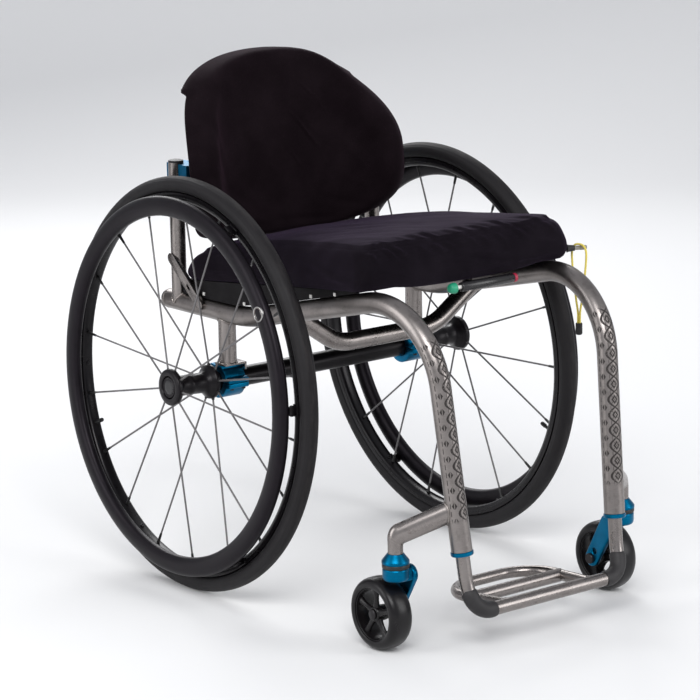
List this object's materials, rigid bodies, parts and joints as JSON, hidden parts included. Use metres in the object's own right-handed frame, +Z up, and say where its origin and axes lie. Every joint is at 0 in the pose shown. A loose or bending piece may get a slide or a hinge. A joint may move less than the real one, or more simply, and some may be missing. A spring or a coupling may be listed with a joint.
{
  "type": "rigid wheelchair",
  "caption": "Rigid-frame wheelchair with cambered spoked wheels, handrims, curved backrest, cushion, one-sided caster forks and a tubular footrest.",
  "frame": {"origin": "on the floor, under the middle of the outer box", "axes": "+Z up, the chair faces -Y, the user's left is +X"},
  "size_m": [0.555, 0.8104, 0.7401],
  "materials": {
    "titanium": "brushed titanium",
    "blue_anodised": "blue anodised",
    "black_aluminium": "satin black",
    "black_plastic": "matt black",
    "shell": "woven carbon look, satin",
    "tyre": "smooth black",
    "rubber": "matt black",
    "cloth": "black stretch cloth",
    "steel": "polished",
    "green_plastic": "green",
    "yellow_cord": "braided"
  },
  "bodies": {
    "frame": {"right_side_tube": "titanium", "right_riser": "titanium", "right_gusset": "titanium", "right_back_post": "titanium", "right_caster_arm": "titanium", "right_clamp_top": "blue_anodised", "right_clamp_base": "blue_anodised", "right_leg_collar": "blue_anodised", "right_caster_housing": "blue_anodised", "right_back_bracket": "blue_anodised", "right_post_cap": "black_plastic", "right_caster_seal": "rubber", "right_camber_plug": "steel", "right_wheel_axle": "steel", "left_side_tube": "titanium", "left_riser": "titanium", "left_gusset": "titanium", "left_back_post": "titanium", "left_caster_arm": "titanium", "left_clamp_top": "blue_anodised", "left_clamp_base": "blue_anodised", "left_leg_collar": "blue_anodised", "left_caster_housing": "blue_anodised", "left_back_bracket": "blue_anodised", "left_post_cap": "black_plastic", "left_caster_seal": "rubber", "left_camber_plug": "steel", "left_wheel_axle": "steel", "cross_tube": "titanium", "camber_tube": "black_aluminium", "seat_pan": "black_plastic", "backrest_shell": "shell", "backrest_pad": "cloth", "cushion": "cloth", "slide_valve_barrel": "black_plastic", "valve_cord": "yellow_cord", "cord_toggle": "black_plastic"},
    "right_wheel": {"right_tyre": "tyre", "right_rim": "black_aluminium", "right_handrim": "black_aluminium", "right_hub_and_spokes": "black_aluminium"},
    "right_button": {"right_release_button": "black_plastic"},
    "right_fork": {"right_caster_fork": "blue_anodised", "right_caster_axle": "steel"},
    "right_caster": {"right_caster_wheel": "black_plastic", "right_caster_tyre": "tyre"},
    "left_wheel": {"left_tyre": "tyre", "left_rim": "black_aluminium", "left_handrim": "black_aluminium", "left_hub_and_spokes": "black_aluminium"},
    "left_button": {"left_release_button": "black_plastic"},
    "left_fork": {"left_caster_fork": "blue_anodised", "left_caster_axle": "steel"},
    "left_caster": {"left_caster_wheel": "black_plastic", "left_caster_tyre": "tyre"},
    "footrest": {"footrest": "titanium", "right_footrest_sleeve": "rubber", "left_footrest_sleeve": "rubber"},
    "slide_valve_rod": {"slide_valve_rod": "green_plastic"},
    "air_valve": {"air_valve": "steel"}
  },
  "joints": [
    {"name": "right_wheel_spin", "type": "hinge", "parent": "frame", "child": "right_wheel", "pos_m": [-0.2321, 0.11025, 0.29483], "axis": [-0.9994, 0, 0.0349], "continuous": true},
    {"name": "right_button_press", "type": "slide", "parent": "frame", "child": "right_button", "axis": [0.9994, 0, -0.0349], "range_m": [0, 0.004], "stiffness_N_per_m": 1200, "springref_m": -0.002},
    {"name": "right_caster_swivel", "type": "hinge", "parent": "frame", "child": "right_fork", "pos_m": [-0.2024, -0.31575, 0.12], "axis": [0, 0, 1], "continuous": true},
    {"name": "right_caster_spin", "type": "hinge", "parent": "right_fork", "child": "right_caster", "pos_m": [-0.2024, -0.28405, 0.0495], "axis": [1, 0, 0], "continuous": true},
    {"name": "left_wheel_spin", "type": "hinge", "parent": "frame", "child": "left_wheel", "pos_m": [0.2321, 0.11025, 0.29483], "axis": [0.9994, 0, 0.0349], "continuous": true},
    {"name": "left_button_press", "type": "slide", "parent": "frame", "child": "left_button", "axis": [-0.9994, 0, -0.0349], "range_m": [0, 0.004], "stiffness_N_per_m": 1200, "springref_m": -0.002},
    {"name": "left_caster_swivel", "type": "hinge", "parent": "frame", "child": "left_fork", "pos_m": [0.2024, -0.31575, 0.12], "axis": [0, 0, 1], "continuous": true},
    {"name": "left_caster_spin", "type": "hinge", "parent": "left_fork", "child": "left_caster", "pos_m": [0.2024, -0.28405, 0.0495], "axis": [1, 0, 0], "continuous": true},
    {"name": "footrest_height", "type": "slide", "parent": "frame", "child": "footrest", "axis": [0, -0.1256, -0.9921], "range_m": [-0.025, 0.025]},
    {"name": "slide_valve_push", "type": "slide", "parent": "frame", "child": "slide_valve_rod", "axis": [1, 0, 0], "range_m": [0, 0.008]},
    {"name": "air_valve_turn", "type": "hinge", "parent": "frame", "child": "air_valve", "pos_m": [0.18458, -0.22195, 0.483], "axis": [0.9063, -0.4226, 0], "range_deg": [0, 180]}
  ]
}
